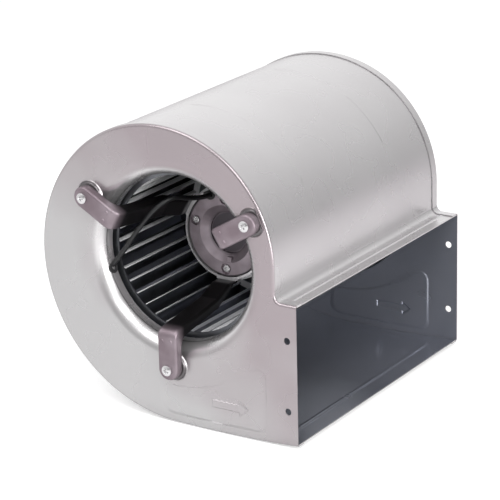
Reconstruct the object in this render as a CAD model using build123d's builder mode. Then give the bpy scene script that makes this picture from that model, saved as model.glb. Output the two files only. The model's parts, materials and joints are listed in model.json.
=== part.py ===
from build123d import *
from math import acos, cos, degrees, pi, radians, sin, sqrt, tan
import os

os.makedirs("parts", exist_ok=True)

# A double-inlet centrifugal fan. Millimetres, shaft along Y through the origin at the
# middle of the housing's width, outlet towards +X, +Z up, motor arms at the -Y inlet.

# Scroll outline, as tangent arcs from the cut-off over the top to the outlet floor,
# each radius so much larger than the impeller's
scroll_gaps = (23.0, 33.8, 45.5, 54.0)
floor_radius = 1300.0
scroll_starts = (0.0, 66.0, 134.0, 202.0, 268.0)
scroll_first_x = -8.5
scroll_first_z = 7.6
outlet_reach = 21.5
outlet_top_z = -20.0
cutoff_radius = 6.0

# Sheet metal of the housing
housing_width = 300.0
sheet = 1.0
rim_depth = 10.5
rim_rounding = 2.0
bell_radius = 16.0
throat_overlap = 3.8
throat_lip = 3.0

# Fixing holes beside the outlet
fixing_hole_radius = 3.25
fixing_edge = 9.3
fixing_z = -86.5
fixing_spacing = 66.0

# Pressed panel with the flow arrow on each side plate
panel_depth = 0.8
panel_slope = 2.4
panel_left = -12.5
panel_from_outlet = 32.0
panel_from_bell = 24.5
panel_rise = 31.5
panel_margin = 9.0
panel_corner = 8.0
arrow_tail_from_edge = 57.0
arrow_tip_from_edge = 19.0
arrow_drop = 9.5
arrow_shaft_height = 7.0
arrow_head_height = 14.0
arrow_head_length = 9.5
arrow_slope = 1.0

# Stiffening beads of the wrap
bead_height = 0.6
bead_width = 3.0
bead_offset_y = 72.0
bead_sectors = ((36.0, 66.0), (74.0, 103.0))
outlet_bead_edge = 11.0
floor_bead_edge = 21.0
floor_bead_end_gap = 13.0

# Impeller
blade_count = 36
blade_outer_radius = 92.0
blade_depth = 18.8
blade_camber = 5.1
blade_lead = 6.0
blade_thickness = 0.8
impeller_gap = 4.0
ring_thickness = 1.2
ring_lip_gap = 0.2
ring_lip_wall = 0.8
ring_lip_depth = 7.0
disc_thickness = 1.2
disc_hub_gap = 0.3

# Motor: the shell turns, the flange and what it carries stand still
shell_radius = 45.5
shell_wall = 3.0
shell_front_y = -56.0
shell_back_y = 6.0
shell_back_rounding = 3.0
vent_count = 6
vent_radius = 4.5
vent_circle_radius = 28.0
shaft_radius = 4.0
shaft_front_y = -59.8
shaft_back_y = 10.0
shaft_chamfer = 0.5
shaft_clearance = 0.03
shell_boss_radius = 9.0
shell_boss_depth = 4.0
collar_wall = 2.0
collar_length = 14.0
collar_flange_reach = 14.5
collar_rivet_count = 6
rivet_radius = 2.0
rivet_head_radius = 3.6
rivet_head_height = 1.4
rivet_head_taper = 30.0

flange_inset = 2.5
flange_face_y = -62.0
flange_thickness = 5.0
flange_rim_width = 2.0
flange_rim_height = 1.0
flange_groove_width = 1.2
flange_groove_depth = 2.5
flange_boss_radius = 25.0
flange_boss_depth = 5.0
dish_radius = 27.5
dish_depth = 5.5
pocket_radius = 19.5
pocket_depth = 7.5
tube_wall = 2.0
tube_waist_radius = 9.5
tube_end_y = -5.0
bearing_radius = 11.0
bearing_width = 7.0
bearing_inset = 1.0
bearing_lip = 2.0
clip_thickness = 0.8
clip_radius = 6.0
clip_groove_depth = 0.5
clip_gap = 0.3
core_front_y = -42.0
core_back_y = -12.0
air_gap = 0.6
cage_thickness = 4.3
cage_overhang = 2.0
coil_inner_gap = 3.0
coil_depth_front = 9.0
coil_depth_back = 8.0
coil_outer_gap = 8.6
coil_rounding = 3.0
through_screw_edge = 4.1
through_screw_angles = (90.0, 164.0, 270.0, 344.0)
through_screw_length = 32.0
through_boss_radius = 3.6
counterbore_gap = 1.8
lug_size = 5.0
lug_x = 3.3
lug_z = -24.4

# Motor arms, one formed channel each, named by the way they point
arm_angles = {"upper_right": 30.0, "lower": 270.0, "upper_left": 150.0}
arm_width = 20.0
arm_sheet = 2.0
arm_standoff = 12.0
arm_flange_depth = 8.5
foot_from_bell = 6.0
arm_run_gap = 15.5
arm_knee_share = 0.46
arm_elbow_radius = 8.0
arm_throat_radius = 10.0
arm_knee_y = -92.0
arm_seat_y = -72.0
arm_fade_y = -66.0
arm_tip_y = -57.5
arm_tip_screw_y = -60.0
arm_seat_gap = 0.8
arm_bend_radius = 8.0
arm_press_radius = 2.5
arm_dimple_from_elbow = 2.0
arm_dimple_spread = 4.6
arm_dimple_radius = 1.6
arm_dimple_height = 0.5
arm_dimple_taper = 45.0
seat_pad_length = 4.5

# Screwed rubber feet of the arms
pad_base_radius = 13.5
pad_top_radius = 11.8
pad_height = 3.0
pad_cavity_radius = 10.6
pad_root = 2.5
m5_radius = 2.5
m5_clearance_radius = 2.75
m5_head_radius = 5.0
m5_head_height = 3.4
m5_nut_across_flats = 8.0
m5_nut_height = 4.0
m5_thread_past_nut = 1.5
washer_radius = 5.0
washer_thickness = 1.0
sleeve_gap = 0.2
sleeve_wall = 1.3
bush_gap = 0.5
m4_radius = 2.0
m4_head_radius = 3.5
m4_head_height = 2.5
tip_screw_radius = 1.5
tip_screw_depth = 5.0
tip_head_radius = 2.8
tip_head_height = 1.8
head_rounding = 1.0
flange_head_rounding = 0.5
socket_across_flats = 3.0
socket_depth = 1.5

# Motor lead, held from the gland to the wrap
lead_radius = 2.3
gland_angle = 113.0
gland_from_edge = 2.5
gland_radius = 6.5
gland_lead_from_edge = 4.6
gland_stand = 0.5
grommet_bore_radius = 3.9
grommet_flange_radius = 4.9
grommet_flange_depth = 1.2
lead_first_run = 22.0

# Lead beside the bell: direction from the shaft, distance outside the throat, depth
# behind the front face; then beside the wrap: distance inside its left, depth, height
lead_bell_route = ((119.4, -19.5, 28.0), (202.4, 11.2, 11.5))
lead_wrap_route = ((24.3, 17.0, -40.5), (2.5, 19.9, -41.4))

# Places worked out from the sizes above
scroll_radii = tuple(blade_outer_radius + gap for gap in scroll_gaps) + (floor_radius,)
outlet_x = scroll_first_x + scroll_radii[0] + outlet_reach
fixing_x = outlet_x - fixing_edge
outlet_bead_x = outlet_x - outlet_bead_edge
floor_bead_x = outlet_x - floor_bead_edge
blade_inner_radius = blade_outer_radius - blade_depth
throat_radius = blade_inner_radius + throat_overlap
bell_outer_radius = throat_radius + bell_radius
front_y = -housing_width / 2
throat_y = front_y + bell_radius
throat_end_y = throat_y + throat_lip
wrap_front_y = front_y + rim_rounding
panel_right = outlet_x - panel_from_outlet
panel_arc_radius = bell_outer_radius + panel_from_bell
panel_top = panel_rise - panel_arc_radius
arrow_tail_x = panel_right - arrow_tail_from_edge
arrow_tip_x = panel_right - arrow_tip_from_edge
arrow_z = -panel_arc_radius - arrow_drop
ring_y = throat_end_y + impeller_gap
ring_lip_radius = blade_outer_radius + blade_thickness / 2 + ring_lip_gap
shell_bore_radius = shell_radius - shell_wall
cage_inner_radius = shell_bore_radius - cage_thickness
core_radius = cage_inner_radius - air_gap
coil_outer_radius = core_radius - coil_outer_gap
through_screw_circle_radius = core_radius - through_screw_edge
flange_radius = shell_radius - flange_inset
flange_back_y = flange_face_y + flange_thickness
groove_radius = flange_radius - flange_rim_width - flange_groove_width
pocket_floor_y = flange_face_y + pocket_depth
tube_radius = bearing_radius + tube_wall
front_bearing_y = pocket_floor_y + bearing_inset
rear_bearing_y = tube_end_y - bearing_width
clip_y = front_bearing_y - clip_gap
disc_face = disc_thickness / 2
collar_flange_radius = shell_radius + collar_flange_reach
collar_rivet_circle_radius = (shell_radius + collar_flange_radius) / 2
arm_screw_circle_radius = bell_outer_radius + foot_from_bell
arm_run_radius = throat_radius - arm_run_gap
arm_seat_radius = flange_radius + arm_seat_gap
arm_knee_radius = arm_seat_radius + arm_knee_share * (arm_run_radius - arm_seat_radius)
arm_dimple_place = arm_run_radius + arm_elbow_radius + arm_dimple_from_elbow
seat_pad_y = flange_face_y - flange_rim_height
foot_face_y = front_y - arm_standoff
foot_back_y = foot_face_y + arm_sheet
pad_face_y = front_y - pad_height
pad_back_y = pad_face_y + sheet
nut_y = pad_back_y + washer_thickness
bush_radius = arm_width / 2 - arm_sheet - bush_gap
sleeve_bore_radius = m5_radius + sleeve_gap
sleeve_radius = sleeve_bore_radius + sleeve_wall
gland_circle_radius = flange_radius - gland_from_edge
gland_lead_circle_radius = flange_radius - gland_lead_from_edge


def at_y(y):
    """Plane across the shaft at height y along it, drawn in x and z, with its normal towards -Y."""
    return Plane.XZ.offset(-y)


def round_about(angle, radius):
    """Point in x and z at a direction and distance from the shaft."""
    return (radius * cos(radians(angle)), radius * sin(radians(angle)))


def radial_at(angle):
    """Direction straight away from the shaft."""
    return Vector(cos(radians(angle)), 0, sin(radians(angle)))


def scroll_centres():
    """Centre of each scroll arc, each found from the one before where the two arcs meet."""
    centres = [Vector(scroll_first_x, scroll_first_z)]
    for radius, following, angle in zip(scroll_radii, scroll_radii[1:], scroll_starts[1:]):
        centres.append(centres[-1] + Vector(*round_about(angle, radius - following)))
    return centres


def housing_face(inset, front=outlet_x):
    """Housing seen along the shaft, `inset` inside its outer face and closed at x = front."""
    centres = scroll_centres()
    floor_centre = centres[-1]
    floor_radius = scroll_radii[-1] - inset
    floor_end = 360 - degrees(acos((front - floor_centre.X) / floor_radius))
    floor_z = floor_centre.Y + floor_radius * sin(radians(floor_end))
    side_x = scroll_first_x + scroll_radii[0]
    lip_x = side_x + cutoff_radius
    lip_z = outlet_top_z + cutoff_radius
    ends = scroll_starts[1:] + (floor_end,)
    with BuildSketch() as face:
        with BuildLine():
            for centre, radius, start, end in zip(centres, scroll_radii, scroll_starts, ends):
                CenterArc(centre, radius - inset, start, end - start)
            Line((front, floor_z), (front, outlet_top_z - inset))
            Line((front, outlet_top_z - inset), (lip_x, outlet_top_z - inset))
            CenterArc((lip_x, lip_z), cutoff_radius + inset, 180, 90)
            Line((side_x - inset, lip_z), (side_x - inset, scroll_first_z))
        make_face()
    return face.sketch


def floor_height(x, inset):
    """Height of the outlet floor at x, `inset` inside the outer face."""
    centre = scroll_centres()[-1]
    return centre.Y - sqrt((scroll_radii[-1] - inset) ** 2 - (x - centre.X) ** 2)


def sheet_band(inset, wall):
    """Sheet seen along the shaft, from `inset` to `inset` plus `wall` inside the outer face."""
    with BuildSketch() as band:
        add(housing_face(inset))
        add(housing_face(inset + wall, outlet_x + rim_depth), mode=Mode.SUBTRACT)
    return band.sketch


def panel_face(grow):
    """Pressed panel below the inlet, between an arc about the shaft and the floor's line."""
    with BuildSketch() as panel:
        with BuildLine():
            Polyline(
                (panel_left, -housing_width),
                (panel_left, panel_top),
                (panel_right, panel_top),
                (panel_right, -housing_width),
                close=True,
            )
        make_face()
        add(housing_face(panel_margin), mode=Mode.INTERSECT)
        Circle(panel_arc_radius, mode=Mode.SUBTRACT)
        fillet(panel.vertices(), panel_corner)
        offset(amount=grow)
    return panel.sketch


def arrow_face(grow):
    """Flow arrow, pointing to the outlet."""
    neck_x = arrow_tip_x - arrow_head_length
    half_shaft = arrow_shaft_height / 2
    half_head = arrow_head_height / 2
    with BuildSketch() as arrow:
        with BuildLine():
            Polyline(
                (arrow_tail_x, arrow_z - half_shaft),
                (neck_x, arrow_z - half_shaft),
                (neck_x, arrow_z - half_head),
                (arrow_tip_x, arrow_z),
                (neck_x, arrow_z + half_head),
                (neck_x, arrow_z + half_shaft),
                (arrow_tail_x, arrow_z + half_shaft),
                close=True,
            )
        make_face()
        offset(amount=grow, kind=Kind.INTERSECTION)
    return arrow.sketch


def sloped(outline, y_wide, y_narrow, slope):
    """Low form with sloping sides, from the wider outline at y_wide to the narrower at y_narrow."""
    with BuildPart() as form:
        with BuildSketch(at_y(y_wide)):
            add(outline(slope / 2))
        with BuildSketch(at_y(y_narrow)):
            add(outline(-slope / 2))
        loft(ruled=True)
    return form.part


def rounded_slab(y, inset, front, rounding):
    """Housing's outline as a slab behind y, its front edges rounded except the outlet's."""
    with BuildPart() as slab:
        with BuildSketch(at_y(y)):
            add(housing_face(inset, front))
        extrude(amount=-rim_depth)
        fillet(slab.edges().filter_by_position(Axis.Y, y, y).sort_by(Axis.X)[:-1], rounding)
    return slab.part


def side_plate():
    """Plate with its rolled rim, drawn inlet bell, pressed panel and fixing holes."""
    with BuildPart() as plate:
        add(rounded_slab(front_y, 0, outlet_x, rim_rounding))
        add(
            rounded_slab(front_y + sheet, sheet, outlet_x + rim_depth, rim_rounding - sheet),
            mode=Mode.SUBTRACT,
        )
        with BuildSketch(at_y(front_y)):
            Circle(bell_outer_radius)
        extrude(amount=-sheet, mode=Mode.SUBTRACT)
        with BuildSketch(Plane.XY):
            with BuildLine():
                CenterArc((bell_outer_radius, throat_y), bell_radius, 180, 90)
                Line((throat_radius, throat_y), (throat_radius, throat_end_y))
                Line((throat_radius, throat_end_y), (throat_radius + sheet, throat_end_y))
                Line((throat_radius + sheet, throat_end_y), (throat_radius + sheet, throat_y))
                CenterArc((bell_outer_radius, throat_y), bell_radius - sheet, 180, 90)
                Line((bell_outer_radius, front_y + sheet), (bell_outer_radius, front_y))
            make_face()
        revolve(axis=Axis.Y)
        panel_y = front_y + panel_depth
        add(sloped(panel_face, front_y + sheet, panel_y + sheet, panel_slope))
        add(sloped(panel_face, front_y, panel_y, panel_slope), mode=Mode.SUBTRACT)
        add(sloped(arrow_face, panel_y, front_y, arrow_slope))
        add(sloped(arrow_face, panel_y + sheet, front_y + sheet, arrow_slope), mode=Mode.SUBTRACT)
        with BuildSketch(at_y(front_y)):
            with Locations((fixing_x, fixing_z)):
                with GridLocations(0, fixing_spacing, 1, 2):
                    Circle(fixing_hole_radius)
        extrude(amount=-sheet, mode=Mode.SUBTRACT)
    return plate.part


def turned(*corners):
    """Body of revolution about the shaft, from its corners as radius and y."""
    with BuildPart() as body:
        with BuildSketch(Plane.XY):
            with BuildLine():
                Polyline(*corners, close=True)
            make_face()
        revolve(axis=Axis.Y)
    return body.part


foot_places = [round_about(angle, arm_screw_circle_radius) for angle in arm_angles.values()]


def foot_rings(y_from, y_to, radius, bore=0.0):
    """Round slice on each foot screw's axis, from y_from to y_to along the shaft."""
    with BuildPart() as rings:
        with BuildSketch(at_y(y_from)):
            with Locations(*foot_places):
                Circle(radius)
            if bore > 0:
                with Locations(*foot_places):
                    Circle(bore, mode=Mode.SUBTRACT)
        extrude(amount=y_from - y_to)
    return rings.part


def foot_pads():
    """Raised round pad under each arm's foot, cut off where it would pass the plate's rolled edge."""
    with BuildPart() as pads:
        for pad_x, pad_z in foot_places:
            pad_base = Plane(origin=(pad_x, front_y, pad_z), z_dir=(0, -1, 0))
            with BuildSketch(pad_base):
                Circle(pad_base_radius)
            with BuildSketch(pad_base.offset(pad_height)):
                Circle(pad_top_radius)
            loft()
        with BuildSketch(at_y(pad_face_y)):
            add(housing_face(rim_rounding))
        extrude(amount=-pad_height, mode=Mode.INTERSECT)
    return pads.part


def arm_side(inset):
    """Arm from the side: everything behind its pressed face, `inset` inside it, by radius and y."""
    reach = arm_screw_circle_radius + arm_width
    seat_radius = arm_seat_radius + inset
    elbow = (arm_run_radius + inset, foot_face_y + inset)
    knee = (arm_knee_radius + inset, arm_knee_y)
    ankle = (seat_radius, arm_seat_y)
    with BuildSketch() as side:
        with BuildLine():
            Polyline(
                (reach, elbow[1]),
                elbow,
                knee,
                ankle,
                (seat_radius, arm_tip_y),
                (reach, arm_tip_y),
                close=True,
            )
        make_face()
        fillet(side.vertices().sort_by_distance(elbow)[0], arm_elbow_radius - inset)
        fillet(side.vertices().sort_by_distance(knee)[0], arm_bend_radius + inset)
        fillet(side.vertices().sort_by_distance(ankle)[0], arm_bend_radius - inset)
    return side.sketch


def arm_back():
    """What lies behind the arm's two side flanges, by radius and y."""
    reach = arm_screw_circle_radius + arm_width
    throat = (arm_run_radius + arm_flange_depth, foot_face_y + arm_flange_depth)
    seat_back = arm_seat_radius + arm_sheet
    with BuildSketch() as back:
        with BuildLine():
            Polyline(
                (reach, throat[1]),
                throat,
                (arm_knee_radius + arm_flange_depth, arm_knee_y),
                (seat_back, arm_fade_y),
                (seat_back, 0),
                (reach, 0),
                close=True,
            )
        make_face()
        fillet(back.vertices().sort_by_distance(throat)[0], arm_throat_radius)
    return back.sketch


def arm_plan(inset):
    """Arm from the front, with its round end about the foot screw, `inset` inside its edge."""
    half_width = arm_width / 2 - inset
    with BuildSketch() as plan:
        with Locations((arm_screw_circle_radius / 2, 0)):
            Rectangle(arm_screw_circle_radius, 2 * half_width)
        with Locations((arm_screw_circle_radius, 0)):
            Circle(half_width)
    return plan.sketch


# Motor lead, made first because its gland and grommets fit round it
gland_lead_x, gland_lead_z = round_about(gland_angle, gland_lead_circle_radius)
lead_start = Vector(gland_lead_x, flange_back_y, gland_lead_z)
wrap_left_x = scroll_centres()[2].X - scroll_radii[2]
lead_points = [lead_start, lead_start - Vector(0, lead_first_run, 0)]
for angle, beyond, depth in lead_bell_route:
    lead_points.append(radial_at(angle) * (throat_radius + beyond) + Vector(0, front_y + depth, 0))
for inside, depth, height in lead_wrap_route:
    lead_points.append(Vector(wrap_left_x + inside, front_y + depth, height))


def cord_radii(points):
    """Largest bend radius that the two runs beside each inner point allow."""
    radii = []
    for before, corner, after in zip(points, points[1:], points[2:]):
        arriving = corner - before
        leaving = after - corner
        half_turn = radians(arriving.get_angle(leaving)) / 2
        radii.append(0.45 * min(arriving.length, leaving.length) / tan(half_turn))
    return radii


lead_bends = cord_radii(lead_points)
print("lead bend radii", [round(radius, 1) for radius in lead_bends])

with BuildPart() as motor_lead:
    with BuildLine() as lead_path:
        FilletPolyline(*lead_points, radius=lead_bends)
    with BuildSketch(Plane(origin=lead_points[0], z_dir=(0, -1, 0))):
        Circle(lead_radius)
    sweep(path=lead_path.line)
motor_lead.part.label = "motor_lead"
export_step(motor_lead.part, "parts/motor_lead.step")
lead_length = sum(edge.length for edge in lead_path.edges())
lead_section = pi * lead_radius ** 2
print("lead volume over section times length", motor_lead.part.volume / (lead_section * lead_length))


def lead_crossing(carrier):
    """Plane of the sheet where the lead's middle line goes through it."""
    inside = lead_path.line.intersect(carrier)
    place = inside[-1].center()
    nearest = carrier.faces().sort_by_distance(place)[0]
    return Plane(origin=place, z_dir=nearest.normal_at(place))


def grommet(crossing, carrier):
    """Rubber grommet whose groove fits the sheet round it and whose bore fits the lead."""
    with BuildPart() as rubber:
        with BuildSketch(crossing):
            Circle(grommet_flange_radius)
        extrude(amount=sheet / 2 + grommet_flange_depth, both=True)
        add(carrier, mode=Mode.SUBTRACT)
        add(motor_lead.part, mode=Mode.SUBTRACT)
    return rubber.part


# Housing
with BuildPart() as front_side_plate:
    add(side_plate())
    add(foot_pads())
    with BuildSketch(at_y(front_y)):
        with Locations(*foot_places):
            Circle(pad_base_radius)
        add(housing_face(2 * sheet), mode=Mode.INTERSECT)
    extrude(amount=-pad_root)
    with BuildSketch(at_y(pad_back_y)):
        with Locations(*foot_places):
            Circle(pad_cavity_radius)
        add(housing_face(3 * sheet), mode=Mode.INTERSECT)
    extrude(amount=pad_back_y - throat_y, mode=Mode.SUBTRACT)
    add(foot_rings(pad_face_y, pad_back_y, m5_clearance_radius), mode=Mode.SUBTRACT)
    bell_crossing = lead_crossing(front_side_plate.part)
    with BuildSketch(bell_crossing):
        Circle(grommet_bore_radius)
    extrude(amount=grommet_bore_radius, both=True, mode=Mode.SUBTRACT)
front_side_plate.part.label = "front_side_plate"
export_step(front_side_plate.part, "parts/front_side_plate.step")

with BuildPart() as back_side_plate:
    add(side_plate())
    mirror(about=Plane.XZ, mode=Mode.REPLACE)
back_side_plate.part.label = "back_side_plate"
export_step(back_side_plate.part, "parts/back_side_plate.step")

with BuildPart() as scroll_wrap:
    with BuildSketch(at_y(wrap_front_y)):
        add(sheet_band(sheet, sheet))
    extrude(amount=2 * wrap_front_y)
    for bead_y in (-bead_offset_y, bead_offset_y):
        for start, end in bead_sectors:
            with BuildSketch(at_y(bead_y)):
                add(sheet_band(sheet - bead_height, sheet))
                with BuildLine():
                    Polyline(
                        (0, 0),
                        round_about(start, housing_width),
                        round_about(end, housing_width),
                        close=True,
                    )
                make_face(mode=Mode.INTERSECT)
            extrude(amount=bead_width / 2, both=True)
    with BuildSketch(at_y(front_y + rim_depth)):
        with Locations((outlet_bead_x, outlet_top_z - sheet)):
            Rectangle(bead_width, 2 * bead_height)
    extrude(amount=-(housing_width - 2 * rim_depth))
    with BuildSketch(at_y(wrap_front_y)):
        with Locations((floor_bead_x, floor_height(floor_bead_x, 2 * sheet))):
            Rectangle(bead_width, 2 * bead_height)
    extrude(amount=2 * wrap_front_y + floor_bead_end_gap)
    wrap_crossing = lead_crossing(scroll_wrap.part)
    with BuildSketch(wrap_crossing):
        Circle(grommet_bore_radius)
    extrude(amount=grommet_bore_radius, both=True, mode=Mode.SUBTRACT)
scroll_wrap.part.label = "scroll_wrap"
export_step(scroll_wrap.part, "parts/scroll_wrap.step")

with BuildPart() as bell_grommet:
    add(grommet(bell_crossing, front_side_plate.part))
bell_grommet.part.label = "bell_grommet"
export_step(bell_grommet.part, "parts/bell_grommet.step")

with BuildPart() as wrap_grommet:
    add(grommet(wrap_crossing, scroll_wrap.part))
wrap_grommet.part.label = "wrap_grommet"
export_step(wrap_grommet.part, "parts/wrap_grommet.step")

# Motor arms, formed once along +X and turned to each place
with BuildPart() as arm_hollow:
    with BuildSketch(Plane.XY):
        add(arm_side(arm_sheet))
    extrude(amount=arm_width / 2, both=True)
    with BuildSketch(at_y(foot_face_y)):
        add(arm_plan(arm_sheet))
    extrude(amount=foot_face_y, mode=Mode.INTERSECT)

with BuildPart() as formed_arm:
    with BuildSketch(Plane.XY):
        add(arm_side(0))
    extrude(amount=arm_width / 2, both=True)
    with BuildSketch(at_y(foot_face_y)):
        add(arm_plan(0))
    extrude(amount=foot_face_y, mode=Mode.INTERSECT)
    round_end = formed_arm.edges().filter_by(Axis.Y).sort_by(Axis.X)[-2:]
    tip = formed_arm.edges().filter_by_position(Axis.Y, arm_tip_y, arm_tip_y)
    fillet(formed_arm.edges() - round_end - tip, arm_press_radius)
    with BuildSketch(Plane.XY):
        add(arm_back())
    extrude(amount=arm_width, both=True, mode=Mode.SUBTRACT)
    add(arm_hollow.part, mode=Mode.SUBTRACT)
    with BuildSketch(at_y(foot_face_y)):
        with Locations((arm_screw_circle_radius, 0)):
            Circle(m5_clearance_radius)
    extrude(amount=-arm_sheet, mode=Mode.SUBTRACT)
    with BuildSketch(at_y(foot_face_y)):
        with Locations((arm_dimple_place, 0)):
            with GridLocations(0, 2 * arm_dimple_spread, 1, 2):
                Circle(arm_dimple_radius)
    extrude(amount=arm_dimple_height, taper=arm_dimple_taper)
    with BuildSketch(Plane(origin=(arm_seat_radius, arm_tip_screw_y, 0), z_dir=(1, 0, 0))):
        Circle(tip_screw_radius)
    extrude(amount=arm_sheet, mode=Mode.SUBTRACT)

for arm_name, arm_angle in arm_angles.items():
    with BuildPart() as motor_arm:
        add(formed_arm.part, rotation=(0, -arm_angle, 0))
    motor_arm.part.label = "arm_" + arm_name
    export_step(motor_arm.part, f"parts/arm_{arm_name}.step")

# Screwed rubber feet
with BuildPart() as mount_bushes:
    add(foot_rings(foot_back_y, pad_face_y, bush_radius, sleeve_radius))
mount_bushes.part.label = "mount_bushes"
export_step(mount_bushes.part, "parts/mount_bushes.step")

with BuildPart() as mount_sleeves:
    add(foot_rings(foot_back_y, pad_face_y, sleeve_radius, sleeve_bore_radius))
mount_sleeves.part.label = "mount_sleeves"
export_step(mount_sleeves.part, "parts/mount_sleeves.step")

with BuildPart() as mount_screws:
    add(foot_rings(foot_face_y - m5_head_height, foot_face_y, m5_head_radius))
    head_edges = mount_screws.edges().filter_by_position(
        Axis.Y, foot_face_y - m5_head_height, foot_face_y - m5_head_height
    )
    fillet(head_edges, head_rounding)
    add(foot_rings(foot_face_y, nut_y + m5_nut_height + m5_thread_past_nut, m5_radius))
    for angle in arm_angles.values():
        head_x, head_z = round_about(angle, arm_screw_circle_radius)
        with BuildSketch(Plane(origin=(head_x, foot_face_y - m5_head_height, head_z), z_dir=(0, -1, 0))):
            RegularPolygon(socket_across_flats / 2, 6, major_radius=False)
        extrude(amount=-socket_depth, mode=Mode.SUBTRACT)
mount_screws.part.label = "mount_screws"
export_step(mount_screws.part, "parts/mount_screws.step")

with BuildPart() as mount_washers:
    add(foot_rings(pad_back_y, nut_y, washer_radius, m5_radius))
mount_washers.part.label = "mount_washers"
export_step(mount_washers.part, "parts/mount_washers.step")

with BuildPart() as mount_nuts:
    for angle in arm_angles.values():
        nut_x, nut_z = round_about(angle, arm_screw_circle_radius)
        with BuildSketch(Plane(origin=(nut_x, nut_y, nut_z), z_dir=(0, 1, 0))):
            RegularPolygon(m5_nut_across_flats / 2, 6, major_radius=False)
            Circle(m5_radius, mode=Mode.SUBTRACT)
        extrude(amount=m5_nut_height)
mount_nuts.part.label = "mount_nuts"
export_step(mount_nuts.part, "parts/mount_nuts.step")

with BuildPart() as arm_tip_screws:
    for angle in arm_angles.values():
        outwards = radial_at(angle)
        head_place = outwards * (arm_seat_radius + arm_sheet) + Vector(0, arm_tip_screw_y, 0)
        head_seat = Plane(origin=head_place, z_dir=outwards)
        with BuildSketch(head_seat):
            Circle(tip_head_radius)
        extrude(amount=tip_head_height)
        fillet(arm_tip_screws.edges().sort_by(Axis((0, 0, 0), outwards))[-1], head_rounding)
        with BuildSketch(head_seat):
            Circle(tip_screw_radius)
        extrude(amount=-(arm_sheet + tip_screw_depth))
arm_tip_screws.part.label = "arm_tip_screws"
export_step(arm_tip_screws.part, "parts/arm_tip_screws.step")

# Standing side of the motor
through_screw_places = [
    round_about(angle, through_screw_circle_radius) for angle in through_screw_angles
]

with BuildPart() as flange_screws:
    with BuildSketch(at_y(flange_face_y)):
        with Locations(*through_screw_places):
            Circle(m4_head_radius)
    extrude(amount=-m4_head_height)
    head_edges = flange_screws.edges().filter_by_position(Axis.Y, flange_face_y, flange_face_y)
    fillet(head_edges, flange_head_rounding)
    with BuildSketch(at_y(flange_face_y + m4_head_height)):
        with Locations(*through_screw_places):
            Circle(m4_radius)
    extrude(amount=-(through_screw_length - m4_head_height))
    with BuildSketch(at_y(flange_face_y)):
        with Locations(*through_screw_places):
            RegularPolygon(socket_across_flats / 2, 6, major_radius=False)
    extrude(amount=-socket_depth, mode=Mode.SUBTRACT)
flange_screws.part.label = "flange_screws"
export_step(flange_screws.part, "parts/flange_screws.step")

with BuildPart() as motor_flange:
    add(
        turned(
            (bearing_radius - bearing_lip, pocket_floor_y),
            (pocket_radius, pocket_floor_y),
            (pocket_radius, flange_face_y + dish_depth),
            (dish_radius, flange_face_y),
            (groove_radius, flange_face_y),
            (groove_radius, flange_face_y + flange_groove_depth),
            (flange_radius - flange_rim_width, flange_face_y + flange_groove_depth),
            (flange_radius - flange_rim_width, flange_face_y - flange_rim_height),
            (flange_radius, flange_face_y - flange_rim_height),
            (flange_radius, flange_back_y),
            (flange_boss_radius, flange_back_y),
            (flange_boss_radius, flange_back_y + flange_boss_depth),
            (tube_radius, flange_back_y + flange_boss_depth),
            (tube_radius, tube_end_y),
            (bearing_radius, tube_end_y),
            (bearing_radius, rear_bearing_y),
            (tube_waist_radius, rear_bearing_y),
            (tube_waist_radius, front_bearing_y + bearing_width),
            (bearing_radius, front_bearing_y + bearing_width),
            (bearing_radius, front_bearing_y),
            (bearing_radius - bearing_lip, front_bearing_y),
        )
    )
    for angle in arm_angles.values():
        with BuildSketch(Plane(origin=(0, seat_pad_y, 0), x_dir=radial_at(angle), z_dir=(0, -1, 0))):
            with Locations((arm_seat_radius - seat_pad_length / 2, 0)):
                Rectangle(seat_pad_length, arm_width)
        extrude(amount=-(flange_back_y - seat_pad_y))
    with BuildSketch(at_y(flange_face_y)):
        with Locations((lug_x, lug_z)):
            Rectangle(lug_size, lug_size)
    extrude(amount=-flange_thickness)
    with BuildSketch(at_y(flange_back_y)):
        with Locations(*through_screw_places):
            Circle(through_boss_radius)
    extrude(amount=-(core_front_y - flange_back_y))
    with BuildSketch(at_y(seat_pad_y)):
        with Locations(*through_screw_places):
            Circle(m4_head_radius + counterbore_gap)
    extrude(amount=-(flange_face_y + m4_head_height - seat_pad_y), mode=Mode.SUBTRACT)
    with BuildSketch(at_y(seat_pad_y)):
        with Locations(round_about(gland_angle, gland_circle_radius)):
            Circle(gland_radius)
    extrude(amount=-(flange_back_y - seat_pad_y), mode=Mode.SUBTRACT)
    add(flange_screws.part, mode=Mode.SUBTRACT)
    add(arm_tip_screws.part, mode=Mode.SUBTRACT)
motor_flange.part.label = "motor_flange"
export_step(motor_flange.part, "parts/motor_flange.step")

with BuildPart() as lead_gland:
    with BuildSketch(at_y(flange_face_y - gland_stand)):
        with Locations(round_about(gland_angle, gland_circle_radius)):
            Circle(gland_radius)
        Circle(flange_radius, mode=Mode.INTERSECT)
    extrude(amount=-(flange_thickness + gland_stand))
    add(motor_lead.part, mode=Mode.SUBTRACT)
lead_gland.part.label = "lead_gland"
export_step(lead_gland.part, "parts/lead_gland.step")

with BuildPart() as stator_core:
    with BuildSketch(at_y(core_front_y)):
        Circle(core_radius)
        Circle(tube_radius, mode=Mode.SUBTRACT)
    extrude(amount=core_front_y - core_back_y)
    add(flange_screws.part, mode=Mode.SUBTRACT)
stator_core.part.label = "stator_core"
export_step(stator_core.part, "parts/stator_core.step")


def winding(y_core, depth):
    """Coil ends against the stator core, reaching `depth` along the shaft from it."""
    with BuildPart() as coil:
        with BuildSketch(at_y(y_core)):
            Circle(coil_outer_radius)
            Circle(tube_radius + coil_inner_gap, mode=Mode.SUBTRACT)
        extrude(amount=-depth)
        free_edges = coil.edges().filter_by_position(Axis.Y, y_core + depth, y_core + depth)
        fillet(free_edges, coil_rounding)
    return coil.part


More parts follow.
